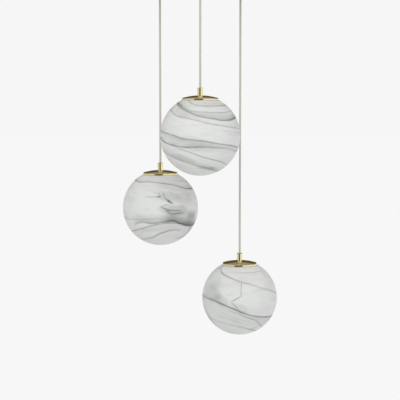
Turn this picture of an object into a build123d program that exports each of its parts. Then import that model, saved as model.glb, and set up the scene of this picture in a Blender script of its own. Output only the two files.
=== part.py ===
from build123d import *
import math
import os

# Cluster pendant light: a round ceiling canopy with three globe pendants hung at three heights.
# Millimetres, +Z up. The origin is on the ceiling plane at the middle of the ceiling bracket.
# A pendant's pieces are drawn about its globe's centre and then moved to where the globe hangs.

# Canopy and ceiling bracket
CANOPY_DEPTH = 25.0
CANOPY_WALL = 1.2
CANOPY_BEND_R = 6.0
CANOPY_NUT_GAP = 7.9
CANOPY_LIP = 3.0
BRACKET_END = 15.0
BRACKET_WIDTH = 30.0
BRACKET_CORNER_R = 6.0
BRACKET_T = 2.0
CEILING_SLOT_SPACING = 120.0
CEILING_SLOT_LENGTH = 16.0
CEILING_SLOT_W = 5.5
SUPPLY_HOLE_R = 8.0
GROMMET_BORE_R = 5.5
GROMMET_FLANGE = 2.0
GROMMET_T = 1.5
STUD_SPACING = 160.0
STUD_R = 2.0
STUD_NUT_WALL = 1.5
STUD_NUT_T = 3.0
CAP_NUT_WALL = 4.0
CAP_NUT_H = 9.0
CAP_NUT_COLLAR_H = 2.0
CAP_NUT_DOME_IN = 1.0
CAP_NUT_THREAD = 5.0

# Terminal block, earth screw and the leads inside the canopy
BLOCK_X = 32.0
BLOCK_LENGTH = 30.0
BLOCK_WIDTH = 17.0
BLOCK_BASE_H = 7.0
BLOCK_TOWER_H = 8.0
BLOCK_TOWER_W = 7.0
BLOCK_EDGE = 1.0
POLE_PITCH = 10.0
POLE_SCREW_R = 2.0
POLE_SCREW_SINK = 1.5
LEAD_R = 1.0
LEAD_BEND_R = 5.0
LEAD_PAIR_SPACING = 3.2
LEAD_STACK_SPACING = 2.6
LIVE_LEAD_Z = -10.5
NEUTRAL_LEAD_Z = -13.9
LEAD_ABOVE_BALL = 1.0
FRONT_LEAD_TURN_Y = -34.0
EARTH_LEAD_Z = -6.0
EARTH_LEAD_Y = -22.0
EARTH_SCREW_X = -30.0
EARTH_SCREW_Y = -6.0
EARTH_SCREW_R = 2.0
EARTH_HEAD_R = 4.0
EARTH_HEAD_T = 2.5
EARTH_HEAD_ROUND = 0.8
EARTH_TAG_R = 4.5
EARTH_TAG_T = 0.8
EARTH_TAG_GAP = 0.3
EARTH_BARREL_LENGTH = 4.0
EARTH_BARREL_W = 3.0
SLOT_WIDTH_SHARE = 0.3
SLOT_DEPTH_SHARE = 0.5

# Pendant layout: the angle of each pendant on its circle, how far its globe's centre hangs
# below the ceiling, and which way its tube's grub screw faces
HANG_CIRCLE_R = 122.0
PENDANT_ANGLES = (-90.0, 150.0, 30.0)
FIRST_DROP = 387.0
SECOND_DROP = 586.0
THIRD_DROP = 828.0
GRUB_FACING = (90.0, -120.0, 60.0)

# Swivel outlet in the canopy
BALL_R = 7.0
BALL_FLAT = 4.6
BALL_FIT = 0.08
BALL_DROP = 4.5
OUTLET_WALL = 2.0
OUTLET_COLLAR_W = 2.9
OUTLET_MOUTH_R = 4.9
OUTLET_EDGE = 1.5
OUTLET_SHANK = 8.0
OUTLET_NUT_WALL = 2.9
OUTLET_NUT_T = 4.0
SWING_DEG = 10.0

# Cord
CORD_R = 2.75
CORD_GAP = 0.3
CORD_OVER_PIVOT = 3.5
CORD_IN_HOLDER = 3.0

# Globe
GLOBE_R = 100.0
GLOBE_WALL = 3.0
GLOBE_HOLE_R = 40.0
GLOBE_LIP = 1.0

# Cap, seal, grip tube and what clamps them together
SEAL_GAP = 0.3
SEAL_FIT = 0.15
SEAL_WIDTH = 4.0
CAP_T = 0.8
CAP_OVERLAP = 6.0
CAP_DOME_R = 160.0
CAP_CROWN_RISE = 0.5
CAP_SHOULDER_ROUND = 2.5
NIPPLE_R = 5.0
NIPPLE_BORE_R = 3.2
NIPPLE_ABOVE_SEAT = 10.0
THREAD_GAP = 0.05
TUBE_WALL = 2.2
TUBE_H = 19.5
TUBE_TOP_T = 3.0
TUBE_CHAMFER = 1.2
GRUB_R = 2.0
GRUB_BELOW_TOP = 4.0
GRUB_SINK = 0.4
CLAMP_NUT_WALL = 2.0
CLAMP_NUT_T = 3.0
NUT_BEVEL_SHARE = 0.6

# Three-arm spring holder that carries the glass
SPRING_T = 0.7
SPRING_ARM_W = 9.0
SPRING_HUB_W = 3.5
SPRING_BEND_R = 2.0
SPRING_ARMS = 3
SPRING_GLASS_GAP = 0.3
SPRING_REACH = 7.0
SPRING_WAIST_GAP = 6.0
SPRING_TIP_OUT = 3.5
SPRING_TIP_DROP = 4.5

# Lampholder and bulb
HOLDER_SKIRT_W = 5.5
HOLDER_WALL = 2.0
HOLDER_BOSS_W = 3.5
HOLDER_BOSS_H = 5.0
HOLDER_SHOULDER_H = 12.0
HOLDER_SHOULDER_IN = 3.0
HOLDER_LENGTH = 56.0
HOLDER_RING_H = 27.0
HOLDER_RING_T = 0.8
SHELL_R = 14.0
SHELL_T = 0.5
SHELL_LENGTH = 22.0
SHELL_INSET = 4.0
CONTACT_R = 4.0
CONTACT_HOLE_R = 2.0
CONTACT_T = 1.0
BULB_FIT = 0.4
BULB_CAP_T = 0.5
BULB_CAP_SKIRT = 3.0
BULB_GLASS_R = 30.0
BULB_NECK_LENGTH = 14.0
BULB_LENGTH = 105.0
BULB_GLASS_T = 1.0
BULB_SLOPE_DEG = 25.0
BULB_TIP_R = 4.5
BULB_TIP_FACE_R = 3.6
BULB_TIP_H = 2.0

# Radii that follow from the sizes above and their fits
BRACKET_LENGTH = STUD_SPACING + BRACKET_END * 2
BALL_SEAT_R = BALL_R + BALL_FIT
SHANK_R = BALL_SEAT_R + OUTLET_WALL
OUTLET_COLLAR_R = SHANK_R + OUTLET_COLLAR_W
OUTLET_NUT_CORNER_R = (SHANK_R + THREAD_GAP + OUTLET_NUT_WALL) * 2 / math.sqrt(3)
CANOPY_R = HANG_CIRCLE_R + OUTLET_NUT_CORNER_R + CANOPY_NUT_GAP + CANOPY_BEND_R
CAP_NUT_R = STUD_R + CAP_NUT_WALL
CAP_RIM_R = GLOBE_HOLE_R + CAP_OVERLAP
TUBE_R = NIPPLE_R + THREAD_GAP + TUBE_WALL
CLAMP_NUT_CORNER_R = (NIPPLE_R + THREAD_GAP + CLAMP_NUT_WALL) * 2 / math.sqrt(3)
SPRING_HUB_R = NIPPLE_R + SPRING_HUB_W
SPRING_SHOULDER_R = CLAMP_NUT_CORNER_R + SPRING_BEND_R
CAP_SEAT_R = math.hypot(SPRING_SHOULDER_R, SPRING_ARM_W / 2) + SPRING_T
SPRING_PAD_R = GLOBE_HOLE_R + SPRING_REACH
SPRING_WAIST_R = GLOBE_HOLE_R - SPRING_WAIST_GAP
HOLDER_R = SHELL_R + HOLDER_SKIRT_W
HOLDER_SHOULDER_R = HOLDER_R - HOLDER_SHOULDER_IN
HOLDER_BOSS_R = NIPPLE_R + HOLDER_BOSS_W
BULB_CAP_R = SHELL_R - SHELL_T - BULB_FIT

# Heights that follow from the sizes above, measured from a globe's centre
CAP_CENTRE_Z = GLOBE_R + CAP_CROWN_RISE - CAP_DOME_R
SEAT_Z = CAP_CENTRE_Z + math.sqrt(CAP_DOME_R**2 - CAP_SEAT_R**2)
UNDER_SEAT_Z = SEAT_Z - CAP_T
UNDER_HUB_Z = UNDER_SEAT_Z - SPRING_T
UNDER_NUT_Z = UNDER_HUB_Z - CLAMP_NUT_T
HOLDER_MOUTH_Z = UNDER_NUT_Z - HOLDER_LENGTH
NIPPLE_END_Z = UNDER_NUT_Z - HOLDER_BOSS_H
SHELL_MOUTH_Z = HOLDER_MOUTH_Z + SHELL_INSET
SHELL_TOP_Z = SHELL_MOUTH_Z + SHELL_LENGTH
CORD_END_Z = NIPPLE_END_Z - CORD_IN_HOLDER

# Heights in the canopy
FACE_Z = -CANOPY_DEPTH
FACE_TOP_Z = FACE_Z + CANOPY_WALL
PIVOT_Z = FACE_Z - BALL_DROP
STANDING = (Align.CENTER, Align.CENTER, Align.MIN)


def turned(*edges):
    """Solid turned about Z from the edges of a closed outline drawn as radius and height."""
    return revolve(Plane.XZ * make_face(edges), Axis.Z)


def turned_points(*points):
    """Solid turned about Z from the corners of its outline."""
    return turned(*Polyline(*points, close=True).edges())


def on_sphere(ball_r, r, centre_z=0):
    """Point of the upper half of a circle of radius ball_r at distance r from the axis."""
    return (r, centre_z + math.sqrt(ball_r**2 - r**2))


def arc_over(ball_r, r_from, r_to, centre_z=0):
    """Arc of the upper half of a circle of radius ball_r between two distances from the axis."""
    middle = (r_from + r_to) / 2
    return ThreePointArc(*[on_sphere(ball_r, r, centre_z) for r in (r_from, middle, r_to)])


def rod(r, height):
    """Cylinder that stands on Z = 0."""
    return Cylinder(r, height, align=STANDING)


def hex_nut(bore_r, wall, height):
    """Hexagon nut that stands on Z = 0, with its corners turned off at both ends."""
    flat_r = bore_r + wall
    blank = extrude(RegularPolygon(flat_r, 6, major_radius=False), height)
    corner_r = flat_r * 2 / math.sqrt(3)
    bevel = (corner_r - flat_r) * NUT_BEVEL_SHARE
    bar = rod(corner_r, height)
    bar = chamfer(bar.edges().filter_by(GeomType.CIRCLE), bevel)
    return (blank & bar) - rod(bore_r, height)


def driver_slot(screw_r):
    """Driver slot across the end of a screw, centred on that end."""
    return Box(screw_r * 2, screw_r * SLOT_WIDTH_SHARE, screw_r * SLOT_DEPTH_SHARE)


# Canopy pieces

def outlet_places():
    """Where the three pendants hang, as X and Y."""
    turns = [math.radians(angle) for angle in PENDANT_ANGLES]
    return [(HANG_CIRCLE_R * math.cos(turn), HANG_CIRCLE_R * math.sin(turn)) for turn in turns]


def stud_places():
    """Where the two canopy studs stand, as X and Y."""
    return [(-STUD_SPACING / 2, 0), (STUD_SPACING / 2, 0)]


def canopy_cover():
    """Spun dish with a rounded bottom corner, a turned-in lip, outlet holes and stud holes."""
    inner_r = CANOPY_R - CANOPY_WALL
    lip_r = inner_r - CANOPY_LIP
    flat_r = CANOPY_R - CANOPY_BEND_R
    bend_z = FACE_Z + CANOPY_BEND_R
    outer_step = CANOPY_BEND_R * math.sqrt(0.5)
    inner_step = (CANOPY_BEND_R - CANOPY_WALL) * math.sqrt(0.5)
    cover = turned(
        Line((0, FACE_Z), (flat_r, FACE_Z)),
        ThreePointArc((flat_r, FACE_Z), (flat_r + outer_step, bend_z - outer_step), (CANOPY_R, bend_z)),
        Line((CANOPY_R, bend_z), (CANOPY_R, 0)),
        Line((CANOPY_R, 0), (lip_r, 0)),
        Line((lip_r, 0), (lip_r, -CANOPY_WALL)),
        Line((lip_r, -CANOPY_WALL), (inner_r, -CANOPY_WALL)),
        Line((inner_r, -CANOPY_WALL), (inner_r, bend_z)),
        ThreePointArc((inner_r, bend_z), (flat_r + inner_step, bend_z - inner_step), (flat_r, FACE_TOP_Z)),
        Line((flat_r, FACE_TOP_Z), (0, FACE_TOP_Z)),
        Line((0, FACE_TOP_Z), (0, FACE_Z)),
    )
    for x, y in outlet_places():
        cover -= Pos(x, y, FACE_Z) * rod(SHANK_R + THREAD_GAP, CANOPY_DEPTH)
    for x, y in stud_places():
        cover -= Pos(x, y, FACE_Z) * rod(STUD_R + THREAD_GAP, CANOPY_DEPTH)
    return cover


def ceiling_bracket():
    """Steel cross bar with two ceiling slots, a supply hole, two stud holes and an earth hole."""
    bar = extrude(RectangleRounded(BRACKET_LENGTH, BRACKET_WIDTH, BRACKET_CORNER_R), BRACKET_T)
    slot = extrude(SlotOverall(CEILING_SLOT_LENGTH, CEILING_SLOT_W), BRACKET_T)
    for x in (-CEILING_SLOT_SPACING / 2, CEILING_SLOT_SPACING / 2):
        bar -= Pos(x, 0, 0) * slot
    bar -= rod(SUPPLY_HOLE_R, BRACKET_T)
    for x, y in stud_places():
        bar -= Pos(x, y, 0) * rod(STUD_R + THREAD_GAP, BRACKET_T)
    bar -= Pos(EARTH_SCREW_X, EARTH_SCREW_Y, 0) * rod(EARTH_SCREW_R + THREAD_GAP, BRACKET_T)
    return Pos(0, 0, -BRACKET_T) * bar


def supply_grommet():
    """Rubber grommet whose groove sits in the bracket's supply hole, below the ceiling plane."""
    flange_r = SUPPLY_HOLE_R + GROMMET_FLANGE
    return turned_points(
        (GROMMET_BORE_R, 0),
        (SUPPLY_HOLE_R, 0),
        (SUPPLY_HOLE_R, -BRACKET_T),
        (flange_r, -BRACKET_T),
        (flange_r - GROMMET_T / 2, -BRACKET_T - GROMMET_T),
        (GROMMET_BORE_R, -BRACKET_T - GROMMET_T),
    )


def canopy_studs():
    """Two threaded studs from the bracket down into the cap nuts."""
    length = CANOPY_DEPTH + CAP_NUT_THREAD
    return Compound(children=[Pos(x, y, -length) * rod(STUD_R, length) for x, y in stud_places()])


def stud_locknuts():
    """Two nuts that lock the studs under the bracket."""
    nut = hex_nut(STUD_R + THREAD_GAP, STUD_NUT_WALL, STUD_NUT_T)
    nuts = [Pos(x, y, -BRACKET_T - STUD_NUT_T) * nut for x, y in stud_places()]
    return Compound(children=nuts)


def cap_nut():
    """Domed nut below Z = 0 with a blind bore for a stud."""
    dome_r = CAP_NUT_R - CAP_NUT_DOME_IN
    dome_z = dome_r - CAP_NUT_H
    step = dome_r * math.sqrt(0.5)
    bore_r = STUD_R + THREAD_GAP
    bore_end = -CAP_NUT_THREAD - THREAD_GAP
    return turned(
        Line((bore_r, 0), (CAP_NUT_R, 0)),
        Line((CAP_NUT_R, 0), (CAP_NUT_R, -CAP_NUT_COLLAR_H)),
        Line((CAP_NUT_R, -CAP_NUT_COLLAR_H), (dome_r, -CAP_NUT_COLLAR_H)),
        Line((dome_r, -CAP_NUT_COLLAR_H), (dome_r, dome_z)),
        ThreePointArc((dome_r, dome_z), (step, dome_z - step), (0, -CAP_NUT_H)),
        Line((0, -CAP_NUT_H), (0, bore_end)),
        Line((0, bore_end), (bore_r, bore_end)),
        Line((bore_r, bore_end), (bore_r, 0)),
    )


def canopy_cap_nuts():
    """Two domed nuts that hold the canopy up against the bracket's studs."""
    return Compound(children=[Pos(x, y, FACE_Z) * cap_nut() for x, y in stud_places()])


def pole_places():
    """X of the live, earth and neutral poles of the terminal block."""
    return [BLOCK_X - POLE_PITCH, BLOCK_X, BLOCK_X + POLE_PITCH]


def terminal_block():
    """Three-pole block under the bracket, with a tower and a screw hole at each pole."""
    base = Box(BLOCK_LENGTH, BLOCK_WIDTH, BLOCK_BASE_H)
    base = fillet(base.edges().filter_by(Axis.Z), BLOCK_EDGE)
    block = Pos(BLOCK_X, 0, -BRACKET_T - BLOCK_BASE_H / 2) * base
    tower = Box(BLOCK_TOWER_W, BLOCK_WIDTH, BLOCK_TOWER_H)
    tower = fillet(tower.edges().filter_by(Axis.Y).group_by(Axis.Z)[0], BLOCK_EDGE)
    tower_z = -BRACKET_T - BLOCK_BASE_H
    for x in pole_places():
        block += Pos(x, 0, tower_z - BLOCK_TOWER_H / 2) * tower
        block -= Pos(x, 0, tower_z - BLOCK_TOWER_H) * rod(POLE_SCREW_R + THREAD_GAP, BLOCK_TOWER_H)
    return block


def terminal_screws():
    """Slotted brass clamping screws in the block's three towers."""
    length = BLOCK_TOWER_H - POLE_SCREW_SINK
    screw = rod(POLE_SCREW_R, length) - driver_slot(POLE_SCREW_R)
    top = -BRACKET_T - BLOCK_BASE_H
    return Compound(children=[Pos(x, 0, top - length) * screw for x in pole_places()])


def lead(points):
    """Round insulated lead along straight runs joined by arcs."""
    path = FilletPolyline(*points, radius=LEAD_BEND_R)
    profile = Plane(path @ 0, z_dir=path % 0) * Circle(LEAD_R)
    return sweep(profile, path=path)


def leads(pole_x, height, side):
    """One lead from each outlet to a pole; side is 1 for the outer lead of each pair, -1 for the inner."""
    start_z = PIVOT_Z + BALL_FLAT + LEAD_ABOVE_BALL
    routes = []
    for x, y in outlet_places():
        outward = 1 if x > LEAD_R else -1
        start_x = x + outward * side * LEAD_PAIR_SPACING / 2
        start = [(start_x, y, start_z), (start_x, y, height)]
        if y < 0:
            turn = [(start_x, FRONT_LEAD_TURN_Y, height), (pole_x, FRONT_LEAD_TURN_Y, height)]
            end = (pole_x, -BLOCK_WIDTH / 2, height)
        else:
            end_x = pole_x + outward * LEAD_STACK_SPACING / 2
            turn = [(end_x, y, height)]
            end = (end_x, BLOCK_WIDTH / 2, height)
        routes.append(lead([*start, *turn, end]))
    return Compound(children=routes)


def earth_lead():
    """Lead from the block's earth pole to a ring tag, crimped in its barrel, under the earth screw."""
    barrel_y = EARTH_SCREW_Y - EARTH_TAG_R - EARTH_BARREL_LENGTH
    wire = lead([
        (BLOCK_X, -BLOCK_WIDTH / 2, EARTH_LEAD_Z),
        (BLOCK_X, EARTH_LEAD_Y, EARTH_LEAD_Z),
        (EARTH_SCREW_X, EARTH_LEAD_Y, EARTH_LEAD_Z),
        (EARTH_SCREW_X, barrel_y, EARTH_LEAD_Z),
    ])
    ring = rod(EARTH_TAG_R, EARTH_TAG_T) - rod(EARTH_SCREW_R + THREAD_GAP, EARTH_TAG_T)
    ring = Pos(EARTH_SCREW_X, EARTH_SCREW_Y, -BRACKET_T - EARTH_TAG_T) * ring
    barrel_end = EARTH_SCREW_Y - EARTH_HEAD_R - EARTH_TAG_GAP
    barrel_z = EARTH_LEAD_Z - LEAD_R
    barrel = Box(EARTH_BARREL_W, barrel_end - barrel_y, -BRACKET_T - barrel_z, align=STANDING)
    barrel = Pos(EARTH_SCREW_X, (barrel_y + barrel_end) / 2, barrel_z) * barrel
    return wire + ring + barrel


def earth_screw():
    """Pan-head screw that clamps the ring tag to the bracket."""
    head_z = -BRACKET_T - EARTH_TAG_T - EARTH_HEAD_T
    head = rod(EARTH_HEAD_R, EARTH_HEAD_T)
    head = fillet(head.edges().group_by(Axis.Z)[0], EARTH_HEAD_ROUND)
    head -= driver_slot(EARTH_HEAD_R)
    shank = Pos(0, 0, EARTH_HEAD_T) * rod(EARTH_SCREW_R, EARTH_TAG_T + BRACKET_T)
    return Pos(EARTH_SCREW_X, EARTH_SCREW_Y, head_z) * (head + shank)


# Swivel outlets

def swivel_outlet():
    """Collar and threaded shank with a round seat in which the cord's ball turns, about the pivot."""
    face = BALL_DROP
    mouth_z = -math.sqrt(BALL_SEAT_R**2 - OUTLET_MOUTH_R**2)
    flare_z = mouth_z - OUTLET_EDGE
    top = face + CANOPY_WALL + OUTLET_SHANK
    seat_mid = on_sphere(BALL_SEAT_R, (OUTLET_MOUTH_R + BALL_SEAT_R) / 2)
    return turned(
        Line((OUTLET_MOUTH_R + OUTLET_EDGE / 2, flare_z), (OUTLET_COLLAR_R - OUTLET_EDGE, flare_z)),
        Line((OUTLET_COLLAR_R - OUTLET_EDGE, flare_z), (OUTLET_COLLAR_R, flare_z + OUTLET_EDGE)),
        Line((OUTLET_COLLAR_R, flare_z + OUTLET_EDGE), (OUTLET_COLLAR_R, face)),
        Line((OUTLET_COLLAR_R, face), (SHANK_R, face)),
        Line((SHANK_R, face), (SHANK_R, top)),
        Line((SHANK_R, top), (BALL_SEAT_R, top)),
        Line((BALL_SEAT_R, top), (BALL_SEAT_R, 0)),
        ThreePointArc((BALL_SEAT_R, 0), (seat_mid[0], -seat_mid[1]), (OUTLET_MOUTH_R, mouth_z)),
        Line((OUTLET_MOUTH_R, mouth_z), (OUTLET_MOUTH_R + OUTLET_EDGE / 2, flare_z)),
    )


def outlet_locknuts():
    """The three nuts that hold the outlets in the canopy."""
    nut = hex_nut(SHANK_R + THREAD_GAP, OUTLET_NUT_WALL, OUTLET_NUT_T)
    return Compound(children=[Pos(x, y, FACE_TOP_Z) * nut for x, y in outlet_places()])


def swivel_ball():
    """Ball cut flat at both ends, with a bore that opens both ways so that the cord can lean in it."""
    throat_r = CORD_R + CORD_GAP
    mouth_r = throat_r + BALL_FLAT * math.tan(math.radians(SWING_DEG)) + CORD_GAP / 2
    flat_r = math.sqrt(BALL_R**2 - BALL_FLAT**2)
    return turned(
        Line((mouth_r, -BALL_FLAT), (flat_r, -BALL_FLAT)),
        ThreePointArc((flat_r, -BALL_FLAT), (BALL_R, 0), (flat_r, BALL_FLAT)),
        Line((flat_r, BALL_FLAT), (mouth_r, BALL_FLAT)),
        ThreePointArc((mouth_r, BALL_FLAT), (throat_r, 0), (mouth_r, -BALL_FLAT)),
    )


# Pendant pieces, drawn about the globe's centre

def cord(drop):
    """Straight round cord from the swivel ball down into the lampholder."""
    bottom = CORD_END_Z
    top = drop + PIVOT_Z + CORD_OVER_PIVOT
    return Pos(0, 0, bottom) * rod(CORD_R, top - bottom)


def glass_globe():
    """Blown globe with one round opening at the top, its edge softened."""
    inner_r = GLOBE_R - GLOBE_WALL
    middle = math.sqrt(0.5)
    globe = turned(
        ThreePointArc((0, -GLOBE_R), (GLOBE_R * middle, -GLOBE_R * middle), (GLOBE_R, 0)),
        arc_over(GLOBE_R, GLOBE_R, GLOBE_HOLE_R),
        Line(on_sphere(GLOBE_R, GLOBE_HOLE_R), on_sphere(inner_r, GLOBE_HOLE_R)),
        arc_over(inner_r, GLOBE_HOLE_R, inner_r),
        ThreePointArc((inner_r, 0), (inner_r * middle, -inner_r * middle), (0, -inner_r)),
        Line((0, -inner_r), (0, -GLOBE_R)),
    )
    lip = globe.edges().filter_by(GeomType.CIRCLE).filter_by(
        lambda edge: abs(edge.radius - GLOBE_HOLE_R) < GLOBE_LIP / 10
    )
    return fillet(lip, GLOBE_LIP)


def on_cap(inset, r):
    """Point of the cap's dome, or of a surface inset from it, at distance r from the axis."""
    return on_sphere(CAP_DOME_R - inset, r, CAP_CENTRE_Z)


def cap_arc(inset, r_from, r_to):
    """Arc of that surface between two distances from the axis."""
    return arc_over(CAP_DOME_R - inset, r_from, r_to, CAP_CENTRE_Z)


def round_shoulder(solid, inset, r):
    """Solid with its upper edge at distance r rounded, concentric with the cap's shoulder."""
    edges = solid.edges().filter_by(GeomType.CIRCLE).filter_by(lambda edge: abs(edge.radius - r) < CAP_T / 10)
    return fillet(edges.sort_by(Axis.Z)[-1], CAP_SHOULDER_ROUND - inset)


def globe_seal():
    """Soft ring that fills the corner between the cap's rim and the glass."""
    inset = CAP_T + SEAL_FIT
    outer_r = CAP_RIM_R - inset
    inner_r = outer_r - SEAL_WIDTH
    glass_side = GLOBE_R + SEAL_GAP
    seal = turned(
        cap_arc(inset, inner_r, outer_r),
        Line(on_cap(inset, outer_r), on_sphere(glass_side, outer_r)),
        arc_over(glass_side, outer_r, inner_r),
        Line(on_sphere(glass_side, inner_r), on_cap(inset, inner_r)),
    )
    return round_shoulder(seal, inset, outer_r)


def globe_cap():
    """Spun cap, flatter than the globe, with a seat for the tube and a rim turned down to the glass."""
    rim_in = CAP_RIM_R - CAP_T
    glass_side = GLOBE_R + SEAL_GAP
    bore_r = NIPPLE_R + THREAD_GAP
    seat_under_r = math.sqrt((CAP_DOME_R - CAP_T) ** 2 - (UNDER_SEAT_Z - CAP_CENTRE_Z) ** 2)
    cap = turned(
        Line((bore_r, SEAT_Z), (CAP_SEAT_R, SEAT_Z)),
        cap_arc(0, CAP_SEAT_R, CAP_RIM_R),
        Line(on_cap(0, CAP_RIM_R), on_sphere(glass_side, CAP_RIM_R)),
        Line(on_sphere(glass_side, CAP_RIM_R), on_sphere(glass_side, rim_in)),
        Line(on_sphere(glass_side, rim_in), on_cap(CAP_T, rim_in)),
        cap_arc(CAP_T, rim_in, seat_under_r),
        Line((seat_under_r, UNDER_SEAT_Z), (bore_r, UNDER_SEAT_Z)),
        Line((bore_r, UNDER_SEAT_Z), (bore_r, SEAT_Z)),
    )
    return round_shoulder(round_shoulder(cap, 0, CAP_RIM_R), CAP_T, rim_in)


def grip_tube(facing):
    """Tube screwed onto the nipple, with a chamfered top, a cord hole and a cross hole for the grub screw."""
    tube = rod(TUBE_R, TUBE_H)
    tube = chamfer(tube.edges().filter_by(GeomType.CIRCLE).group_by(Axis.Z)[-1], TUBE_CHAMFER)
    tube -= rod(NIPPLE_R + THREAD_GAP, TUBE_H - TUBE_TOP_T)
    tube -= rod(CORD_R + CORD_GAP, TUBE_H)
    tube -= grub_line(facing) * rod(GRUB_R + THREAD_GAP, TUBE_R)
    return Pos(0, 0, SEAT_Z) * tube


def grub_line(facing):
    """Place of the grub screw's axis, from the middle of the tube outwards."""
    return Pos(0, 0, TUBE_H - GRUB_BELOW_TOP) * Rot(0, 0, facing) * Rot(0, 90, 0)


def grub_screw(facing):
    """Slotted grub screw whose point stops just short of the cord."""
    start = CORD_R + CORD_GAP
    screw = Pos(0, 0, start) * rod(GRUB_R, TUBE_R - GRUB_SINK - start)
    slot = Pos(0, 0, TUBE_R - GRUB_SINK) * driver_slot(GRUB_R)
    return Pos(0, 0, SEAT_Z) * grub_line(facing) * (screw - slot)


def nipple():
    """Threaded hollow rod that clamps tube, cap, spring and lampholder on one axis."""
    length = SEAT_Z + NIPPLE_ABOVE_SEAT - NIPPLE_END_Z
    return Pos(0, 0, NIPPLE_END_Z) * (rod(NIPPLE_R, length) - rod(NIPPLE_BORE_R, length))


def clamp_nut():
    """Hexagon nut on the nipple, under the spring's hub."""
    return Pos(0, 0, UNDER_NUT_Z) * hex_nut(NIPPLE_R + THREAD_GAP, CLAMP_NUT_WALL, CLAMP_NUT_T)


def spring_arm():
    """Bent strip from the hub down through the globe's opening and out under the glass."""
    bend = SPRING_T / 2
    hub_z = UNDER_HUB_Z + bend
    pad_z = math.sqrt((GLOBE_R - GLOBE_WALL - SPRING_GLASS_GAP - bend) ** 2 - SPRING_PAD_R**2)
    line = FilletPolyline(
        (SPRING_HUB_R / 2, hub_z),
        (SPRING_SHOULDER_R, hub_z),
        (SPRING_WAIST_R, pad_z - SPRING_BEND_R),
        (SPRING_PAD_R, pad_z),
        (SPRING_PAD_R + SPRING_TIP_OUT, pad_z - SPRING_TIP_DROP),
        radius=SPRING_BEND_R,
    )
    strip = Plane.XZ * make_face(offset(line, amount=bend).edges())
    return extrude(strip, SPRING_ARM_W / 2, both=True)


def spring_holder():
    """Three sprung arms on a hub, cut from one strip steel blank."""
    holder = Pos(0, 0, UNDER_HUB_Z) * rod(SPRING_HUB_R, SPRING_T)
    arm = spring_arm()
    for number in range(SPRING_ARMS):
        holder += Rot(0, 0, number * 360 / SPRING_ARMS) * arm
    return holder - Pos(0, 0, UNDER_HUB_Z - SPRING_T) * rod(NIPPLE_R + THREAD_GAP, SPRING_T * 3)


def lampholder():
    """Moulded holder in one shell: threaded boss, sloping shoulder, skirt with a ring, open mouth."""
    boss_z = UNDER_NUT_Z - HOLDER_BOSS_H
    shoulder_z = boss_z - HOLDER_SHOULDER_H
    ring_z = HOLDER_MOUTH_Z + HOLDER_RING_H
    ring_r = HOLDER_R - HOLDER_RING_T
    in_r = SHELL_R + THREAD_GAP
    floor_z = SHELL_TOP_Z + CONTACT_T
    bore_r = NIPPLE_R + THREAD_GAP
    chamber_r = HOLDER_SHOULDER_R - HOLDER_WALL * 2
    return turned_points(
        (bore_r, UNDER_NUT_Z),
        (HOLDER_BOSS_R, UNDER_NUT_Z),
        (HOLDER_BOSS_R, boss_z),
        (HOLDER_SHOULDER_R, shoulder_z),
        (ring_r, ring_z + HOLDER_RING_T),
        (HOLDER_R, ring_z),
        (HOLDER_R, HOLDER_MOUTH_Z),
        (HOLDER_R - HOLDER_WALL, HOLDER_MOUTH_Z),
        (in_r, SHELL_MOUTH_Z),
        (in_r, floor_z),
        (CONTACT_HOLE_R, floor_z),
        (CONTACT_HOLE_R, floor_z + HOLDER_WALL),
        (chamber_r, floor_z + HOLDER_WALL),
        (chamber_r, shoulder_z),
        (bore_r, boss_z),
    )


def holder_contacts():
    """Screw shell, and the centre contact that the bulb presses on."""
    shell = rod(SHELL_R, SHELL_LENGTH) - rod(SHELL_R - SHELL_T, SHELL_LENGTH)
    contact = Pos(0, 0, SHELL_LENGTH) * rod(CONTACT_R, CONTACT_T)
    return Pos(0, 0, SHELL_MOUTH_Z) * Compound(children=[shell, contact])


def bulb_cap():
    """Screw cap of the bulb, closed at the top by its insulator, with the contact button."""
    top = SHELL_TOP_Z - BULB_TIP_H
    side_end = top - BULB_CAP_SKIRT
    in_r = BULB_CAP_R - BULB_CAP_T
    bottom = HOLDER_MOUTH_Z
    return turned_points(
        (0, SHELL_TOP_Z),
        (BULB_TIP_FACE_R, SHELL_TOP_Z),
        (BULB_TIP_R, top),
        (BULB_CAP_R, side_end),
        (BULB_CAP_R, bottom),
        (in_r, bottom),
        (in_r, side_end),
        (BULB_TIP_R, top - BULB_TIP_H),
        (0, top - BULB_TIP_H),
    )


def envelope_side(inset, top, neck_end, ball_z):
    """Edges of one side of the bulb's envelope, inset from its outer surface."""
    neck_r = BULB_CAP_R - BULB_CAP_T - inset
    ball_r = BULB_GLASS_R - inset
    slope = math.radians(BULB_SLOPE_DEG)
    shoulder = (ball_r * math.cos(slope), ball_z + ball_r * math.sin(slope))
    step = ball_r * math.sqrt(0.5)
    return [
        Line((neck_r, top), (neck_r, neck_end)),
        Line((neck_r, neck_end), shoulder),
        ThreePointArc(shoulder, (step, ball_z - step), (0, ball_z - ball_r)),
    ]


def bulb_glass():
    """Hollow frosted envelope: a neck in the screw cap, a sloping side and a round end."""
    top = HOLDER_MOUTH_Z + BULB_CAP_SKIRT
    neck_end = HOLDER_MOUTH_Z - BULB_NECK_LENGTH
    bottom = SHELL_TOP_Z - BULB_LENGTH
    ball_z = bottom + BULB_GLASS_R
    neck_r = BULB_CAP_R - BULB_CAP_T
    return turned(
        *envelope_side(0, top, neck_end, ball_z),
        *envelope_side(BULB_GLASS_T, top, neck_end, ball_z),
        Line((neck_r, top), (neck_r - BULB_GLASS_T, top)),
        Line((0, bottom), (0, bottom + BULB_GLASS_T)),
    )


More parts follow.
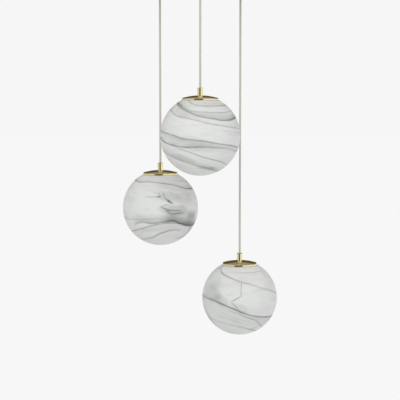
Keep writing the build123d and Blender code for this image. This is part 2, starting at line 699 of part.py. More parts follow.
def pendant(number, place, drop, facing):
    """All pieces of one pendant by node name, moved to where it hangs."""
    x, y = place
    at_globe = Pos(x, y, -drop)
    at_pivot = Pos(x, y, PIVOT_Z)
    pieces = {
        "swivel_outlet": at_pivot * swivel_outlet(),
        "swivel_ball": at_pivot * swivel_ball(),
        "cord": at_globe * cord(drop),
        "grip_tube": at_globe * grip_tube(facing),
        "grub_screw": at_globe * grub_screw(facing),
        "globe_cap": at_globe * globe_cap(),
        "globe_seal": at_globe * globe_seal(),
        "nipple": at_globe * nipple(),
        "clamp_nut": at_globe * clamp_nut(),
        "spring_holder": at_globe * spring_holder(),
        "lampholder": at_globe * lampholder(),
        "holder_contacts": at_globe * holder_contacts(),
        "bulb_cap": at_globe * bulb_cap(),
        "bulb_glass": at_globe * bulb_glass(),
        "glass_globe": at_globe * glass_globe(),
    }
    return {f"{name}_{number}": piece for name, piece in pieces.items()}


def light():
    """Every piece of the light by node name."""
    live_x, _, neutral_x = pole_places()
    pieces = {
        "ceiling_bracket": ceiling_bracket(),
        "supply_grommet": supply_grommet(),
        "canopy_cover": canopy_cover(),
        "canopy_studs": canopy_studs(),
        "stud_locknuts": stud_locknuts(),
        "canopy_cap_nuts": canopy_cap_nuts(),
        "outlet_locknuts": outlet_locknuts(),
        "terminal_block": terminal_block(),
        "terminal_screws": terminal_screws(),
        "live_leads": leads(live_x, LIVE_LEAD_Z, 1),
        "neutral_leads": leads(neutral_x, NEUTRAL_LEAD_Z, -1),
        "earth_lead": earth_lead(),
        "earth_screw": earth_screw(),
    }
    drops = (FIRST_DROP, SECOND_DROP, THIRD_DROP)
    for index, place in enumerate(outlet_places()):
        pieces |= pendant(index + 1, place, drops[index], GRUB_FACING[index])
    return pieces


os.makedirs("parts", exist_ok=True)
for node, solid in light().items():
    export_step(solid, f"parts/{node}.step")
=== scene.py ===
"""Looks of the cluster pendant light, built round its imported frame."""

from __future__ import annotations

import logging
import math
from dataclasses import dataclass, field
from enum import Enum
from typing import Any, Sequence

import bpy
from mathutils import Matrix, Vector


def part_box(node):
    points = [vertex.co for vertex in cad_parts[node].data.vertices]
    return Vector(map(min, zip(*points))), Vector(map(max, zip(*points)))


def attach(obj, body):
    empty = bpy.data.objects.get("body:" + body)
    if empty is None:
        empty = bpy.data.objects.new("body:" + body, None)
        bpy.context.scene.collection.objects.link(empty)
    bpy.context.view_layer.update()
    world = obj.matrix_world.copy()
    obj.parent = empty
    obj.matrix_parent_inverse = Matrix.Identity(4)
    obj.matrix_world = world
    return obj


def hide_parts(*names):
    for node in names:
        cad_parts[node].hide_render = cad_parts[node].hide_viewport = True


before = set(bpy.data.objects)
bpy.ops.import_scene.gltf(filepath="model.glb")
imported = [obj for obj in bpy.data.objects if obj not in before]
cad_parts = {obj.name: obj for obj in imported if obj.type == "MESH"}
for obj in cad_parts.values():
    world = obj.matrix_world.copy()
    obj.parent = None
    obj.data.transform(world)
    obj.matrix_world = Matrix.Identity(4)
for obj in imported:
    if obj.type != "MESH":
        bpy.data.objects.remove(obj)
log = logging.getLogger("pendant_light")

Point = tuple[float, float]
Colour = tuple[float, float, float]


# Shader maths

class Value:
    """One number of a shader, such as a mask, that takes part in Python expressions."""

    def __init__(self, shade: Shade, socket: bpy.types.NodeSocket) -> None:
        """Keeps the socket and the shader that it belongs to."""
        self.shade = shade
        self.socket = socket

    def _math(self, operation: str, *others: Value | float) -> Value:
        """Adds one Math node.

        Args:
            operation: the node's operation.
            others: the values after this one.

        Returns:
            The node's result.
        """
        inputs = {number: value for number, value in enumerate((self, *others))}
        return self.shade.value("ShaderNodeMath", {"operation": operation}, inputs)

    def __add__(self, other: Value | float) -> Value:
        """Sum."""
        return self._math("ADD", other)

    __radd__ = __add__

    def __mul__(self, other: Value | float) -> Value:
        """Product."""
        return self._math("MULTIPLY", other)

    __rmul__ = __mul__

    def __sub__(self, other: Value | float) -> Value:
        """Difference."""
        return self._math("SUBTRACT", other)

    def __rsub__(self, other: float) -> Value:
        """Number less this value."""
        return self.shade.value("ShaderNodeMath", {"operation": "SUBTRACT"}, {0: other, 1: self})

    def __truediv__(self, other: Value | float) -> Value:
        """Quotient."""
        return self._math("DIVIDE", other)

    def __abs__(self) -> Value:
        """Size without sign."""
        return self._math("ABSOLUTE")

    def sine(self) -> Value:
        """Sine of the value in radians."""
        return self._math("SINE")

    def arcsine(self) -> Value:
        """Arcsine in radians."""
        return self._math("ARCSINE")

    def turn_from(self, other: Value) -> Value:
        """Angle whose tangent is this value over the other."""
        return self._math("ARCTAN2", other)

    def step(self, low: float, high: float, to_low: float = 0.0, to_high: float = 1.0) -> Value:
        """Smooth step between two numbers.

        Args:
            low: value that gives to_low.
            high: value that gives to_high.
            to_low: result at low and beyond it.
            to_high: result at high and beyond it.

        Returns:
            The stepped value.
        """
        if low > high:
            low, high, to_low, to_high = high, low, to_high, to_low
        settings = {"interpolation_type": "SMOOTHSTEP"}
        inputs = {"Value": self, "From Min": low, "From Max": high, "To Min": to_low, "To Max": to_high}
        return self.shade.value("ShaderNodeMapRange", settings, inputs)

    def curve(self, points: Sequence[Point]) -> Value:
        """Smooth curve through points whose places and heights run from 0 to 1."""
        return self.shade.value("ShaderNodeFloatCurve", {"points": points}, {"Factor": 1.0, "Value": self})

    def at_least(self, floor: float) -> Value:
        """The larger of this value and a number."""
        return self.shade.value("ShaderNodeMath", {"operation": "MAXIMUM"}, {0: self, 1: floor})


class Shade:
    """Builds the nodes of one material or world."""

    def __init__(self, tree: bpy.types.NodeTree) -> None:
        """Starts with an empty tree."""
        self.tree = tree
        tree.nodes.clear()

    def node(self, kind: str, settings: dict[str, Any], inputs: dict[int | str, Any]) -> bpy.types.Node:
        """Adds any node.

        Args:
            kind: the node's type.
            settings: its settings, with stops for a ramp and points for a curve.
            inputs: values or links of its sockets, by name or number.

        Returns:
            The node.
        """
        node = self.tree.nodes.new(kind)
        for name, setting in settings.items():
            if name == "points":
                self._set_points(node, setting)
            else:
                setattr(node, name, setting)
        for key, value in inputs.items():
            if isinstance(value, Value):
                self.tree.links.new(value.socket, node.inputs[key])
            elif isinstance(value, bpy.types.NodeSocket):
                self.tree.links.new(value, node.inputs[key])
            else:
                node.inputs[key].default_value = value
        return node

    @staticmethod
    def _set_points(node: bpy.types.Node, points: Sequence[Point]) -> None:
        """Gives a curve node its points."""
        curve = node.mapping.curves[0]
        for place, height in points[1:-1]:
            curve.points.new(place, height)
        curve.points[0].location = points[0]
        curve.points[len(curve.points) - 1].location = points[-1]
        node.mapping.update()

    def value(self, kind: str, settings: dict[str, Any], inputs: dict[int | str, Any], out: int = 0) -> Value:
        """Adds a node and gives one of its outputs as a value."""
        return Value(self, self.node(kind, settings, inputs).outputs[out])

    def place(self) -> bpy.types.NodeSocket:
        """Place on the piece, counted from its own origin."""
        return self.node("ShaderNodeTexCoord", {}, {}).outputs["Object"]

    def parts(self, vector: bpy.types.NodeSocket) -> tuple[Value, Value, Value]:
        """X, Y and Z of a vector."""
        node = self.node("ShaderNodeSeparateXYZ", {}, {0: vector})
        return tuple(Value(self, output) for output in node.outputs)

    def scaled(self, vector: bpy.types.NodeSocket, scale: Sequence[float]) -> bpy.types.NodeSocket:
        """Vector multiplied along each axis."""
        node = self.node("ShaderNodeVectorMath", {"operation": "MULTIPLY"}, {0: vector, 1: scale})
        return node.outputs[0]

    def noise(self, vector: bpy.types.NodeSocket, scale: float, detail: float = 3.0) -> Value:
        """Noise from 0 to 1 in space.

        Args:
            vector: the place in metres.
            scale: lumps in a metre.
            detail: octaves of finer lumps.

        Returns:
            The noise.
        """
        return self.value("ShaderNodeTexNoise", {}, {"Vector": vector, "Scale": scale, "Detail": detail})

    def mix(self, share: Value | float, low: Any, high: Any) -> bpy.types.NodeSocket:
        """Colour between two colours."""
        low, high = ((*c, 1.0) if isinstance(c, tuple) else c for c in (low, high))
        return self.node("ShaderNodeMix", {"data_type": "RGBA"}, {0: share, 6: low, 7: high}).outputs[2]

    def bump(self, height: Value, distance: float, strength: float = 1.0) -> bpy.types.NodeSocket:
        """Normal of a surface with small relief.

        Args:
            height: the relief, from 0 to 1.
            distance: metres that a height of 1 stands for.
            strength: share of the relief that shows.

        Returns:
            The normal.
        """
        inputs = {"Height": height, "Distance": distance, "Strength": strength}
        return self.node("ShaderNodeBump", {}, inputs).outputs[0]


def make_material(name: str) -> tuple[bpy.types.Material, Shade]:
    """New material with an empty tree."""
    material = bpy.data.materials.new(name)
    material.use_nodes = True
    return material, Shade(material.node_tree)


def close_surface(shade: Shade, inputs: dict[str, Any]) -> None:
    """Ends a material in one surface shader with these inputs."""
    surface = shade.node("ShaderNodeBsdfPrincipled", {}, inputs)
    shade.node("ShaderNodeOutputMaterial", {}, {"Surface": surface.outputs[0]})


# Finishes

@dataclass(frozen=True)
class Metal:
    """Metal with faint handling marks, and grain where it is rolled or turned."""

    name: str
    colour: Colour
    roughness: float
    grain: float = 0.0
    stain: float = 0.04

    def build(self) -> bpy.types.Material:
        """Material of this finish."""
        material, shade = make_material(self.name)
        place = shade.place()
        cloud = shade.noise(place, 35.0, 2.0)
        fine = shade.noise(shade.scaled(place, (1.0, 1.0, 30.0)), 260.0, 2.0)
        dull = tuple(c * 0.8 for c in self.colour)
        rough = cloud * (self.roughness * 0.5) + fine * (self.grain * 0.5) + self.roughness * 0.75
        close_surface(shade, {
            "Base Color": shade.mix(cloud.step(0.55, 0.8, 0.0, self.stain * 5), self.colour, dull),
            "Metallic": 1.0,
            "Roughness": rough.socket,
            "Normal": shade.bump(fine, 0.00002, 0.02 + self.grain),
        })
        return material


@dataclass(frozen=True)
class Moulding:
    """Moulded plastic or rubber with a fine sparked surface."""

    name: str
    colour: Colour
    roughness: float
    grain: float = 0.3

    def build(self) -> bpy.types.Material:
        """Material of this finish."""
        material, shade = make_material(self.name)
        place = shade.place()
        fine = shade.noise(place, 1400.0, 2.0)
        cloud = shade.noise(place, 60.0, 2.0)
        warm = (self.colour[0] * 0.94, self.colour[1] * 0.92, self.colour[2] * 0.86)
        close_surface(shade, {
            "Base Color": shade.mix(cloud.step(0.4, 0.75), self.colour, warm),
            "Roughness": (cloud * 0.12 + (self.roughness - 0.06)).socket,
            "Normal": shade.bump(fine, 0.00003, self.grain),
        })
        return material


@dataclass(frozen=True)
class StripedLead:
    """Green lead insulation with its yellow stripe."""

    name: str
    green: Colour
    yellow: Colour

    def build(self) -> bpy.types.Material:
        """Material of this finish."""
        material, shade = make_material(self.name)
        x, y, _ = shade.parts(shade.place())
        stripe = ((x + y) * 900.0).sine().step(-0.1, 0.1)
        close_surface(shade, {
            "Base Color": shade.mix(stripe, self.green, self.yellow),
            "Roughness": 0.38,
        })
        return material


@dataclass(frozen=True)
class Braid:
    """Braided textile sleeve of a straight cord that runs along its own Z axis."""

    name: str
    light: Colour
    dark: Colour
    carriers: int = 8
    rise: float = 900.0

    def build(self) -> bpy.types.Material:
        """Material of this finish."""
        material, shade = make_material(self.name)
        place = shade.place()
        x, y, z = shade.parts(place)
        around = y.turn_from(x) * float(self.carriers)
        left = (around + z * self.rise).sine()
        right = (around - z * self.rise).sine()
        relief = abs(left * right)
        fuzz = shade.noise(place, 2600.0, 2.0)
        worn = shade.noise(place, 40.0, 2.0)
        tone = relief.step(0.05, 0.6, 0.0, 0.8) + fuzz * 0.2
        close_surface(shade, {
            "Base Color": shade.mix(tone, self.dark, self.light),
            "Roughness": (worn * 0.1 + 0.78).socket,
            "Sheen Weight": 0.25,
            "Normal": shade.bump(relief + fuzz * 0.3, 0.0002, 0.6),
        })
        return material


@dataclass(frozen=True)
class Frosted:
    """White coated glass of the bulb."""

    name: str
    colour: Colour

    def build(self) -> bpy.types.Material:
        """Material of this finish."""
        material, shade = make_material(self.name)
        cloud = shade.noise(shade.place(), 50.0, 3.0)
        close_surface(shade, {
            "Base Color": shade.mix(cloud, self.colour, tuple(c * 0.97 for c in self.colour)),
            "Roughness": (cloud * 0.1 + 0.22).socket,
            "Coat Weight": 0.2,
        })
        return material


@dataclass(frozen=True)
class Vein:
    """A grey vein that crosses a globe from side to side.

    Points are longitude, from 0 at the front to the right, and latitude, both in degrees.
    Strength is given at longitudes. A positive wash shades above the vein, a negative one below.
    """

    path: tuple[Point, ...]
    strength: tuple[Point, ...]
    width: float = 1.1
    wash: float = 0.0
    wash_strength: float = 0.0
    back: bool = False


@dataclass(frozen=True)
class Dash:
    """A short straight stroke from one longitude and latitude to another."""

    start: Point
    end: Point
    width: float
    strength: float


def curl(path: Sequence[Point], width: float, strength: float) -> tuple[Dash, ...]:
    """Overlapping strokes along a path that turns back on itself, as no vein can.

    Args:
        path: longitudes and latitudes along it.
        width: half width of its strokes, in degrees.
        strength: darkness of each.

    Returns:
        The strokes.
    """
    overlap = 0.3
    strokes = []
    for (lon, lat), (next_lon, next_lat) in zip(path, path[1:]):
        run, rise = (next_lon - lon) * overlap, (next_lat - lat) * overlap
        strokes.append(Dash((lon - run, lat - rise), (next_lon + run, next_lat + rise), width, strength))
    return tuple(strokes)


def rear(start: float, end: float, strength: float, wash: float = 0.0) -> Vein:
    """A vein round the back, from the globe's right side as seen from the front to its left.

    Args:
        start: latitude at the right side.
        end: latitude at the left side.
        strength: darkness at the middle of the back.
        wash: height of the shade above it, or below it where negative.

    Returns:
        The vein.
    """
    rise = end - start
    path = ((-115, start - rise * 0.1), (-70, start + rise * 0.04), (-25, start + rise * 0.42),
            (15, start + rise * 0.5), (60, start + rise * 0.86), (115, end + rise * 0.08))
    ends = strength * 0.7
    powers = ((-125, 0), (-80, ends), (0, strength), (80, ends), (125, 0))
    return Vein(path, powers, 1.2, wash, 0.35 if wash else 0.0, True)


@dataclass(frozen=True)
class Haze:
    """A broad soft grey patch round a longitude and latitude, leaning by some degrees."""

    middle: Point
    reach: Point
    lean: float
    strength: float


@dataclass(frozen=True)
class Marble:
    """Satin opal glass with grey veins and hazes blown into it, and a painted shade just under the cap."""

    name: str
    veins: tuple[Vein, ...]
    dashes: tuple[Dash, ...]
    hazes: tuple[Haze, ...]
    seed: float
    white: Colour = (0.785, 0.805, 0.785)
    blush: Colour = (0.785, 0.77, 0.78)
    vein: Colour = (0.13, 0.14, 0.135)
    cloud: float = 0.1
    streak: float = 0.09
    # Strength of the painted shade on the glass just below the cap.
    painted_cap_shadow: float = 0.3

    def _line(self, shade: Shade, vein: Vein, turn: Value, height: Value, waver: Value) -> list[Value]:
        """Masks of one vein.

        Args:
            shade: the material's nodes; not used.
            vein: the vein.
            turn: longitude, from 0 to 1 round the globe.
            height: latitude, from 0 to 1 from pole to pole.
            waver: noise that swells and thins the line.

        Returns:
            The line's mask, and its wash's where it has one.
        """
        middle = turn.curve([((lon + 180) / 360, (lat + 90) / 180) for lon, lat in vein.path])
        strength = turn.curve([((lon + 180) / 360, power) for lon, power in vein.strength]).at_least(0.0)
        away = (height - middle) * 180.0
        near = abs(away) / (waver * (vein.width * 2.2) + vein.width * 0.35)
        masks = [near.step(1.15, 0.0) * strength]
        if vein.wash:
            side = away if vein.wash > 0 else away * -1.0
            fade = side.step(abs(vein.wash), 0.0) * side.step(-0.6, 0.0)
            masks.append(fade * strength * vein.wash_strength)
        return masks

    def _stroke(self, shade: Shade, dash: Dash, lon: Value, lat: Value) -> Value:
        """Mask of one short stroke.

        Args:
            shade: the material's nodes; not used.
            dash: the stroke.
            lon: longitude in degrees.
            lat: latitude in degrees.

        Returns:
            The mask.
        """
        shrink = math.cos(math.radians((dash.start[1] + dash.end[1]) / 2))
        run = (dash.end[0] - dash.start[0]) * shrink
        rise = dash.end[1] - dash.start[1]
        length = math.hypot(run, rise)
        across = (lon - (dash.start[0] + dash.end[0]) / 2) * shrink
        up = lat - (dash.start[1] + dash.end[1]) / 2
        along = abs(across * (run / length) + up * (rise / length))
        off = abs(across * (rise / length) - up * (run / length))
        return off.step(dash.width * 1.35, 0.0) * along.step(length * 0.66, length * 0.2) * dash.strength

    def _patch(self, haze: Haze, lon: Value, lat: Value, ragged: Value) -> Value:
        """Mask of one haze.

        Args:
            haze: the haze.
            lon: longitude in degrees.
            lat: latitude in degrees.
            ragged: noise from -0.5 to 0.5 that frays its edge.

        Returns:
            The mask.
        """
        lean = math.radians(haze.lean)
        across = (lon - haze.middle[0]) * math.cos(math.radians(haze.middle[1]))
        up = lat - haze.middle[1]
        along = (across * math.cos(lean) + up * math.sin(lean)) / haze.reach[0]
        off = (up * math.cos(lean) - across * math.sin(lean)) / haze.reach[1]
        return (along * along + off * off + ragged * 0.9).step(1.15, 0.1) * haze.strength

    def build(self) -> bpy.types.Material:
        """Material of this finish."""
        material, shade = make_material(self.name)
        place = shade.place()
        moved = shade.node("ShaderNodeVectorMath", {"operation": "ADD"}, {0: place, 1: (self.seed,) * 3})
        moved = moved.outputs[0]
        unit = shade.node("ShaderNodeVectorMath", {"operation": "NORMALIZE"}, {0: place}).outputs[0]
        x, y, z = shade.parts(unit)
        wave = shade.noise(moved, 14.0, 2.0) - 0.5
        ripple = shade.noise(moved, 70.0, 3.0) - 0.5
        lat = z.arcsine() * (180 / math.pi) + wave * 2.4 + ripple * 1.1
        lon = x.turn_from(y * -1.0) * (180 / math.pi) + wave * 3.0
        behind = (x * -1.0).turn_from(y) * (180 / math.pi)
        height = (lat + 90.0) / 180.0
        front_turn = (lon + 180.0) / 360.0
        back_turn = (behind + 180.0) / 360.0
        waver = shade.noise(moved, 45.0, 2.0)
        mottle = shade.noise(shade.scaled(moved, (1.0, 1.0, 2.6)), 16.0, 5.0)
        streaks = shade.noise(shade.scaled(moved, (1.0, 1.0, 5.5)), 26.0, 4.0)
        clear = (1.0 - mottle.step(0.5, 0.85, 0.0, self.cloud)) * (1.0 - streaks.step(0.5, 0.75, 0.0, self.streak))
        # Painted shade: a grey band on the glass just below the cap's rim stands in for the cap's shadow.
        clear = clear * (1.0 - lat.step(59.5, 63.0, 0.0, self.painted_cap_shadow))
        for haze in self.hazes:
            clear = clear * (1.0 - self._patch(haze, lon, lat, wave + ripple * 0.6))
        for vein in self.veins:
            turn = back_turn if vein.back else front_turn
            for mask in self._line(shade, vein, turn, height, waver):
                clear = clear * (1.0 - mask)
        for dash in self.dashes:
            clear = clear * (1.0 - self._stroke(shade, dash, lon, lat))
        ground = shade.mix(mottle.step(0.45, 0.7), self.white, self.blush)
        close_surface(shade, {
            "Base Color": shade.mix(clear, self.vein, ground),
            "Roughness": (mottle * 0.12 + 0.36).socket,
            "Specular IOR Level": 0.3,
            "Normal": shade.bump(wave, 0.0006, 0.1),
        })
        return material


TOP_MARBLE = Marble(
    "marble_glass_top",
    veins=(
        Vein(((-60, 66), (-43, 63), (-10, 50.5), (16, 48.4), (70, 50), (120, 54)),
             ((-70, 0), (-45, 0.5), (-10, 0.45), (60, 0.5), (120, 0.1)), 1.1),
        Vein(((-110, 60), (-75, 54.4), (-30, 40.6), (-8, 32.2), (16, 27.4), (37, 24.1), (72, 26.4), (120, 34)),
             ((-140, 0), (-75, 0.75), (-30, 0.6), (10, 0.5), (40, 0.65), (72, 0.75), (150, 0)), 1.3, 11.0, 0.42),
        Vein(((-80, 57), (-55, 52), (-32, 44), (-15, 38)), ((-95, 0), (-70, 0.75), (-40, 0.5), (-12, 0)), 1.0),
        Vein(((-19, 38.9), (8, 37.2), (26, 36.2), (73, 38.1)), ((-20, 0), (10, 0.3), (70, 0.35), (110, 0)), 1.0),
        Vein(((-110, 46), (-73, 39.9), (-38, 30.3), (-15, 25.9), (11, 20), (38, 15.3), (76, 11.3), (120, 6)),
             ((-150, 0), (-70, 0.4), (0, 0.32), (76, 0.3), (150, 0)), 1.0, 7.0, 0.35),
        Vein(((-110, 10), (-69, 5.8), (-49, 3.7), (-21, -2.6), (3, -5.2), (30, -9.8), (87, -16.5), (130, -20)),
             ((-150, 0), (-69, 0.5), (0, 0.5), (87, 0.55), (160, 0)), 1.0, -8.0, 0.4),
        Vein(((-120, 6), (-81, -3.2), (-57, -9.3), (-42, -11.6), (-23, -14), (3, -13.8), (29, -15.6), (58, -19.6)),
             ((-150, 0), (-81, 0.85), (-50, 0.65), (0, 0.5), (58, 0.2), (90, 0)), 1.3, 7.0, 0.3),
        Vein(((-42, -13.1), (-21, -19.9), (5, -29.1), (34, -36.7), (69, -45.3), (110, -52)),
             ((-46, 0), (-35, 0.45), (5, 0.5), (69, 0.5), (130, 0)), 1.0),
        Vein(((-100, -16), (-66, -26), (-43, -33), (-19, -41), (7, -49), (37, -57), (80, -63)),
             ((-150, 0), (-66, 0.28), (-20, 0.26), (30, 0.4), (80, 0.3), (150, 0)), 2.0, 13.0, 0.75),
        rear(51, 64, 0.4), rear(30, 56, 0.6, 11.0), rear(9, 42, 0.4), rear(-17, 7, 0.5, -8.0), rear(-20, -3, 0.6),
        rear(-49, -22, 0.45), rear(-62, -38, 0.5, 10.0),
    ),
    dashes=(Dash((20, -49), (34, -52), 1.8, 0.35),),
    hazes=(
        Haze((-5, 52), (48, 8), 0, 0.1), Haze((18, 33), (46, 8), -4, 0.15), Haze((-36, 37), (18, 7), -28, 0.14),
        Haze((-20, -6), (42, 9), -8, 0.16), Haze((2, -15), (34, 7), -5, 0.14), Haze((-30, -32), (24, 7), -18, 0.16),
        Haze((12, -51), (15, 5), -12, 0.24),
    ),
    seed=0.0,
)

LEFT_MARBLE = Marble(
    "marble_glass_left",
    veins=(
        Vein(((-110, 49), (-78, 47.7), (-47, 45.6), (-21, 46.7), (1, 45), (20, 42.8), (38, 38.5), (53, 34),
              (82, 31.8), (130, 34)),
             ((-150, 0), (-78, 0.55), (-20, 0.45), (20, 0.55), (60, 0.7), (90, 0.6), (160, 0)), 1.2, 9.0, 0.25),
        Vein(((12, 55.6), (31, 50.6), (72, 46.1)), ((0, 0), (30, 0.25), (72, 0.3), (110, 0)), 1.0),
        Vein(((-67, -15.5), (-31, -13.2), (-15, -11.7)), ((-90, 0), (-60, 0.25), (-20, 0.25), (0, 0)), 1.1),
        Vein(((-41, -21.1), (-30, -17.5), (-10, -18.6), (8, -16.3), (22, -15.1), (31, -18.8), (46, -23.3),
              (69, -25.6), (110, -24)),
             ((-48, 0), (-36, 0.35), (0, 0.5), (22, 0.9), (46, 1), (80, 0.9), (140, 0)), 1.7, 16.0, 0.65),
        Vein(((-100, -42), (-60, -35.5), (-35, -29.4), (-15, -23), (1, -19.5), (20, -18.3), (37, -20.8)),
             ((-140, 0), (-60, 0.6), (-15, 0.5), (20, 0.6), (40, 0)), 1.1),
        Vein(((-51, -52.7), (-14, -44.7), (3, -35.7), (24, -30.5), (40, -32)),
             ((-70, 0), (-30, 0.35), (0, 0.55), (24, 0.4), (40, 0)), 1.6, -5.0, 0.3),
        rear(32, 48, 0.5, 9.0), rear(46, 60, 0.25), rear(8, 14, 0.3), rear(-25, -14, 0.75, 12.0), rear(-32, -40, 0.5),
        rear(-55, -46, 0.4, -6.0),
    ),
    dashes=(
        Dash((-26, 21), (2, 22), 0.9, 0.45), Dash((-4, 21.4), (3, 23), 1.5, 0.75), Dash((-1, 29), (1, 23), 0.7, 0.4),
        Dash((6, 28), (9, 21), 0.9, 0.6), Dash((9, 21), (15, 14), 1.3, 0.75), Dash((13, 17), (17, 13), 2.4, 0.95),
        Dash((16, 13), (21, 11.5), 1.6, 0.8), Dash((15, 10.7), (1, 7.2), 0.9, 0.5), Dash((1, 7.2), (17, 0.4), 1.3, 0.7),
        Dash((10, 1.5), (35, -0.5), 1.5, 0.65), Dash((9, 1), (18, -4.2), 1.3, 0.65), Dash((17, -4.2), (38, -3.7), 1.5, 0.6),
        Dash((18, 30), (26, 22), 0.8, 0.25), Dash((30, 10), (60, 20), 11.0, 0.2), Dash((45, -8), (70, -10), 9.0, 0.4),
        *curl(((66, -26), (67, -34), (67, -41), (60, -48)), 3.6, 0.5), *curl(((62, -46), (54, -50), (42, -51)), 2.2, 0.4),
    ),
    hazes=(
        Haze((16, 23), (22, 12), -10, 0.24), Haze((22, 1), (26, 9), -4, 0.3), Haze((34, -11), (38, 10), -2, 0.22),
        Haze((58, -23), (17, 6), -8, 0.4), Haze((-2, -27), (46, 8), 8, 0.15), Haze((30, 35), (26, 6), -12, 0.12),
    ),
    seed=3.1,
)

RIGHT_MARBLE = Marble(
    "marble_glass_right",
    veins=(
        Vein(((-73, 61.5), (-58, 53.1), (-38, 44.9), (-27, 42.1), (-9, 36), (2, 32.9), (17, 29.3), (38, 21.6),
              (55, 16.4), (78, 8.2), (120, 0)),
             ((-90, 0), (-73, 0.5), (-30, 0.45), (0, 0.36), (30, 0.26), (78, 0.34), (150, 0)), 1.8),
        Vein(((-26, 49.7), (29, 49.5), (51, 49.5)), ((-35, 0), (0, 0.2), (51, 0.25), (70, 0)), 1.2),
        Vein(((-120, 8), (-74, 4.4), (-59, 3.8), (-42, 1.6), (-26, -2.8), (-11, -8), (4, -14.1), (23, -20),
              (44, -24.1), (69, -26.6), (120, -24)),
             ((-160, 0), (-74, 0.45), (-42, 0.6), (-20, 0.75), (20, 0.6), (69, 0.8), (160, 0)), 1.5, -30.0, 0.2),
        Vein(((-20, -10), (9, -20.9), (24, -27.3), (51, -43.5), (80, -54)),
             ((-25, 0), (0, 0.25), (30, 0.35), (51, 0.6), (100, 0)), 1.2),
        Vein(((-60, -30), (-20, -36), (17, -47), (47, -56), (80, -60)),
             ((-110, 0), (-40, 0.15), (10, 0.3), (47, 0.5), (110, 0)), 2.0, -7.0, 0.3),
        rear(5, 52, 0.45), rear(38, 62, 0.25), rear(-26, 5, 0.65, -12.0), rear(-44, -12, 0.4), rear(-60, -32, 0.35, -7.0),
    ),
    dashes=(
        Dash((1.5, 33), (0, 20), 1.1, 0.4), Dash((0, 21), (1, 11), 1.2, 0.4), Dash((1, 11.6), (-15, 2.4), 1.6, 0.4),
        Dash((-15, 2.4), (-3, -9), 1.3, 0.4), Dash((62, 48.2), (57, 37.4), 1.2, 0.3), Dash((-24, 12), (-12, 14), 1.0, 0.2),
        Dash((-60, 22), (-35, 28), 14.0, 0.16), Dash((-55, 4), (-30, 8), 7.0, 0.22), Dash((20, -49), (48, -42), 1.4, 0.4),
        Dash((-35, -13), (32, -37), 0.8, 0.2), Dash((-30, -21), (30, -43), 0.8, 0.16), Dash((-8, -15), (46, -36), 0.7, 0.18),
    ),
    hazes=(
        Haze((-52, 13), (24, 13), -20, 0.16), Haze((-30, 3), (15, 9), -25, 0.17), Haze((0, -9), (22, 8), -22, 0.15),
        Haze((26, -24), (22, 6), -8, 0.1), Haze((-20, -26), (26, 8), -20, 0.08), Haze((-70, -32), (9, 26), 12, 0.25),
    ),
    seed=7.7,
)

MARBLES = (TOP_MARBLE, LEFT_MARBLE, RIGHT_MARBLE)


class Finish(Enum):
    """The finishes of the light's pieces."""

    GOLD = Metal("gold_plate", (0.84, 0.755, 0.45), 0.09)
    ZINC = Metal("zinc_plate", (0.6, 0.61, 0.62), 0.34, 0.12)
    SPRING = Metal("spring_steel", (0.5, 0.51, 0.53), 0.24, 0.2)
    BRASS = Metal("turned_brass", (0.74, 0.56, 0.25), 0.26, 0.15)
    NICKEL = Metal("nickel_plate", (0.7, 0.69, 0.66), 0.2, 0.08)
    RUBBER = Moulding("black_rubber", (0.03, 0.03, 0.032), 0.75)
    SILICONE = Moulding("pale_silicone", (0.74, 0.75, 0.73), 0.5)
    NYLON = Moulding("white_nylon", (0.76, 0.76, 0.73), 0.45)
    HOLDER = Moulding("white_holder", (0.8, 0.8, 0.77), 0.28, 0.12)
    LIVE = Moulding("brown_insulation", (0.16, 0.07, 0.035), 0.36, 0.05)
    NEUTRAL = Moulding("blue_insulation", (0.04, 0.13, 0.42), 0.36, 0.05)
    EARTH = StripedLead("green_insulation", (0.06, 0.24, 0.06), (0.72, 0.62, 0.04))
    BULB = Frosted("frosted_bulb", (0.85, 0.85, 0.83))
    CORD = Braid("braided_sleeve", (0.74, 0.725, 0.655), (0.46, 0.445, 0.385))

    @property
    def material(self) -> bpy.types.Material:
        """The finish's material, built the first time that it is asked for."""
        return bpy.data.materials.get(self.value.name) or self.value.build()


# Mesh making

def arc(radius: float, start: float, end: float, steps: int, centre: Point = (0.0, 0.0)) -> list[Point]:
    """Points of an arc as distance from the axis and height.

    Args:
        radius: radius of the arc.
        start: first angle in degrees, from 0 outwards to 90 upwards.
        end: last angle in degrees.
        steps: number of parts.
        centre: the arc's centre.

    Returns:
        The points.
    """
    turns = [math.radians(start + (end - start) * n / steps) for n in range(steps + 1)]
    return [(centre[0] + radius * math.cos(t), centre[1] + radius * math.sin(t)) for t in turns]


def turned_piece(name: str, profile: Sequence[Point], segments: int = 128) -> bpy.types.Object:
    """Mesh turned about Z from a closed outline.

    Args:
        name: the piece's name.
        profile: distance from the axis and height of each corner.
        segments: parts round the axis.

    Returns:
        The new piece.
    """
    verts, rings = [], []
    for r, z in profile:
        if r < 1e-7:
            rings.append([len(verts)] * segments)
            verts.append((0.0, 0.0, z))
            continue
        rings.append([len(verts) + n for n in range(segments)])
        turns = [2 * math.pi * n / segments for n in range(segments)]
        verts += [(r * math.cos(t), r * math.sin(t), z) for t in turns]
    faces = []
    for low, high in zip(rings, rings[1:] + rings[:1]):
        for n in range(segments):
            after = (n + 1) % segments
            corners = dict.fromkeys((low[n], low[after], high[after], high[n]))
            if len(corners) > 2:
                faces.append(tuple(corners))
    mesh = bpy.data.meshes.new(name)
    mesh.from_pydata(verts, [], faces)
    mesh.validate()
    mesh.shade_smooth()
    mesh.set_sharp_from_angle(angle=math.radians(40))
    piece = bpy.data.objects.new(name, mesh)
    bpy.context.scene.collection.objects.link(piece)
    return piece


